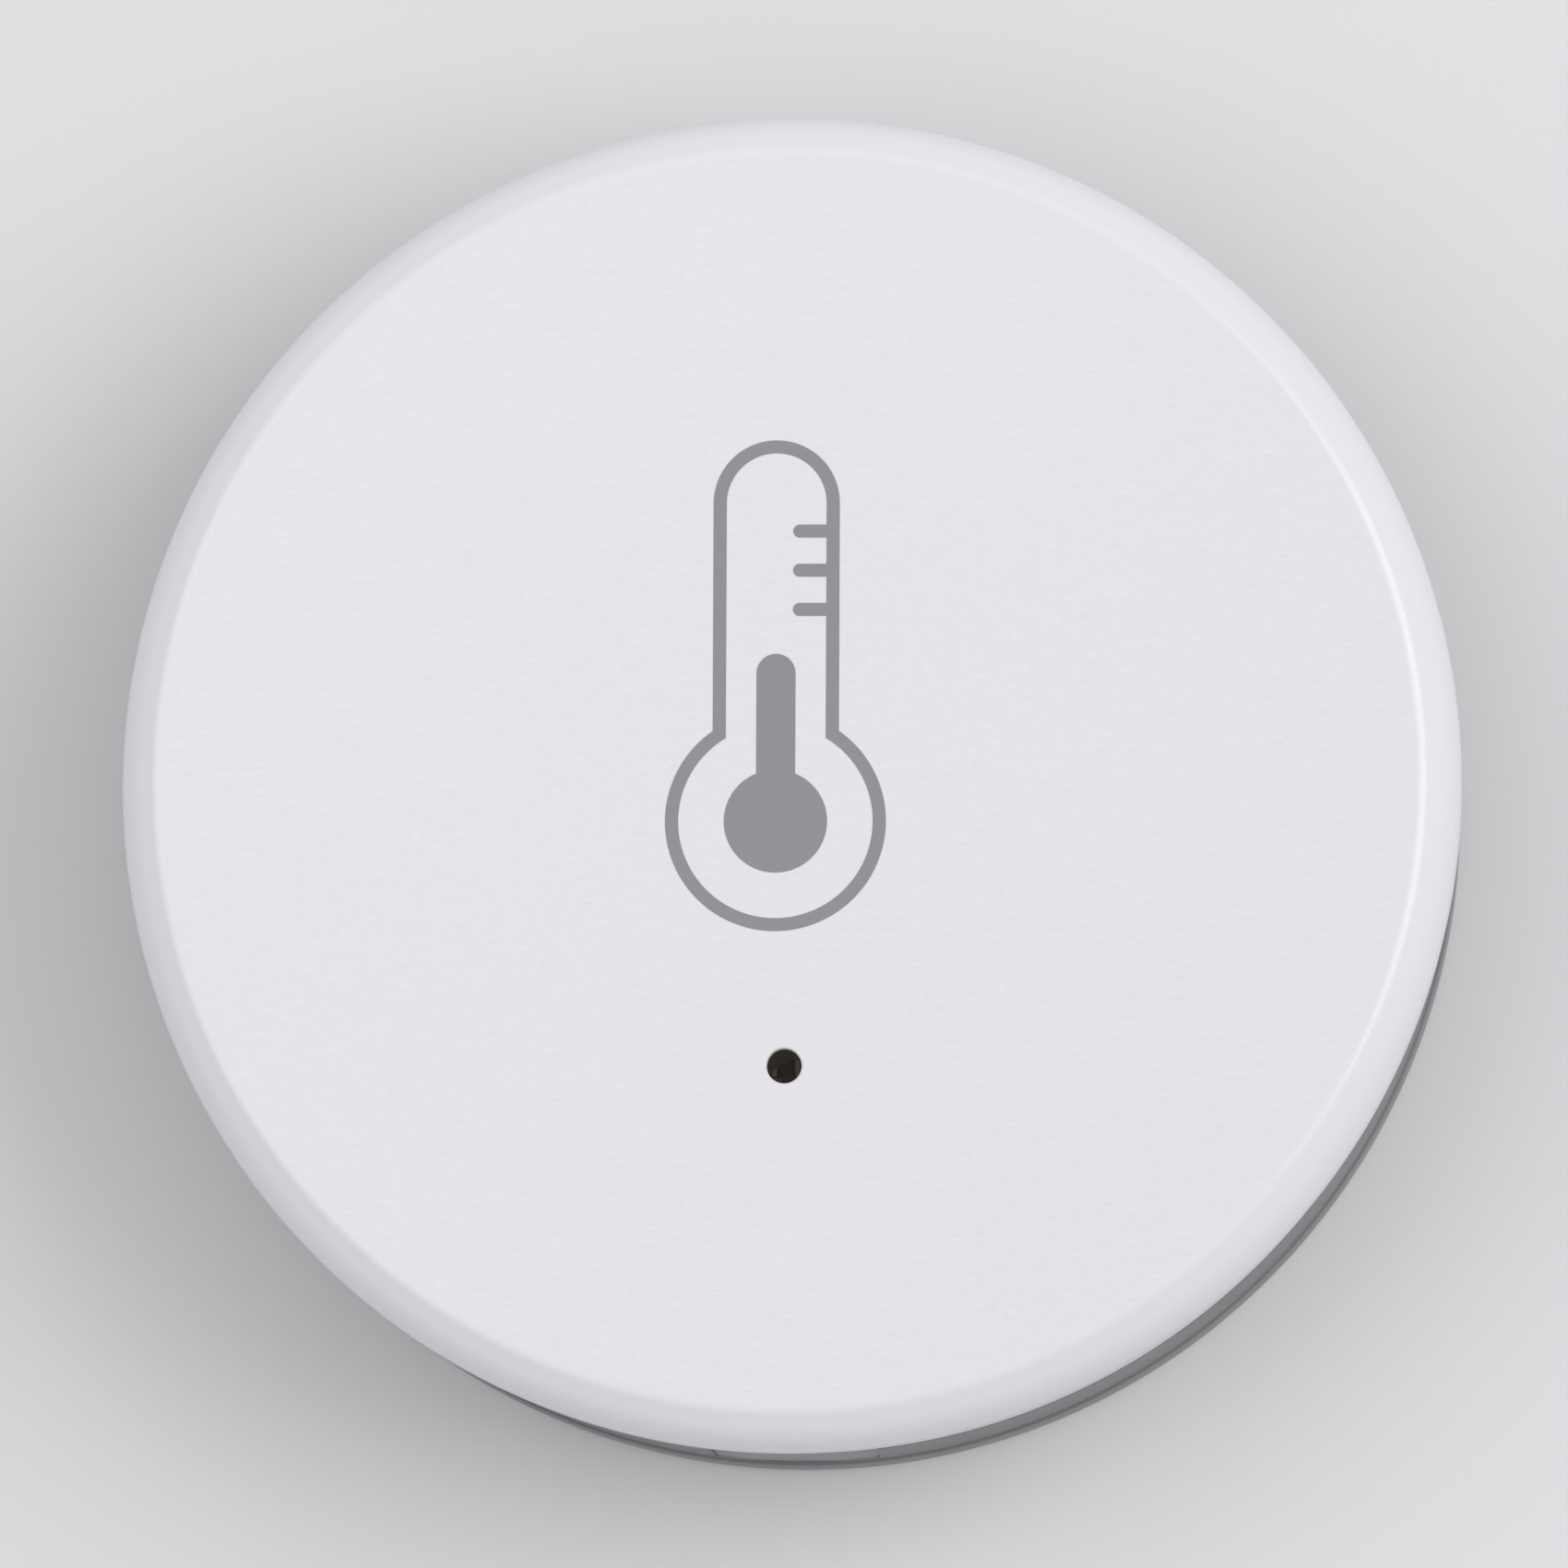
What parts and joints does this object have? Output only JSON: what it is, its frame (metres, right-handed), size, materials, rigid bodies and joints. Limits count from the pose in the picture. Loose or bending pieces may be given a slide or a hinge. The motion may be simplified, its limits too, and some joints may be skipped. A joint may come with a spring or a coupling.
{
  "type": "temperature and humidity sensor",
  "caption": "Round white room climate sensor with a grey base, a thermometer pictogram and a light hole, powered by a coin cell under its lift-off cover.",
  "frame": {"origin": "middle of the flat back, which lies on the surface", "axes": "+Z out of the face, +Y to the top of the face, +X to the right of the face"},
  "size_m": [0.036, 0.036, 0.0115],
  "materials": {
    "cover_white": "satin face, glossier shoulder",
    "housing_grey": "satin",
    "board_green": "solder mask",
    "screw_steel": "zinc plated",
    "holder_black": "satin",
    "contact_steel": "nickel plated",
    "cell_steel": "satin, nickel plated",
    "gasket_plastic": "matte",
    "cap_steel": "fine stipple",
    "chip_black": "moulded",
    "humidity_black": "moulded",
    "crystal_metal": "plated lid",
    "antenna_ceramic": "fired",
    "inductor_body": "fired",
    "diode_white": "matte",
    "diode_clear": "clear epoxy",
    "switch_black": "moulded",
    "dome_steel": "plated",
    "switch_metal": "stamped",
    "button_white": "moulded",
    "tantalum_yellow": "moulded",
    "lead_tin": "tinned",
    "capacitor_tan": "fired",
    "resistor_black": "glazed"
  },
  "bodies": {
    "base": {"rear_housing": "housing_grey", "circuit_board": "board_green", "board_screws": "screw_steel", "cell_holder": "holder_black", "side_contacts": "contact_steel", "lower_contact": "contact_steel", "radio_chip": "chip_black", "radio_crystal": "crystal_metal", "antenna": "antenna_ceramic", "match_inductor": "inductor_body", "diode_base": "diode_white", "diode_lens": "diode_clear", "humidity_chip": "humidity_black", "switch_base": "switch_black", "switch_dome": "dome_steel", "switch_lid": "switch_metal", "reservoir_capacitor": "tantalum_yellow", "supervisor_chip": "chip_black", "supervisor_leads": "lead_tin", "chip_capacitors": "capacitor_tan", "chip_resistors": "resistor_black"},
    "cover": {"front_cover": "cover_white"},
    "cell": {"cell_can": "cell_steel", "cell_gasket": "gasket_plastic", "cell_cap": "cap_steel"},
    "button": {"pairing_button": "button_white"}
  },
  "joints": [
    {"name": "cover_lift", "type": "slide", "parent": "base", "child": "cover", "axis": [0, 0, 1], "range_m": [0, 0.016]},
    {"name": "cell_lift", "type": "slide", "parent": "base", "child": "cell", "axis": [0, 0, 1], "range_m": [0, 0.008]},
    {"name": "button_press", "type": "slide", "parent": "base", "child": "button", "axis": [0, 0, -1], "range_m": [0, 0.00025], "stiffness_N_per_m": 400, "springref_m": -0.001}
  ],
  "couplings": [
    {"joint": "cell_lift", "follows": "cover_lift", "ratio": 0.5}
  ]
}
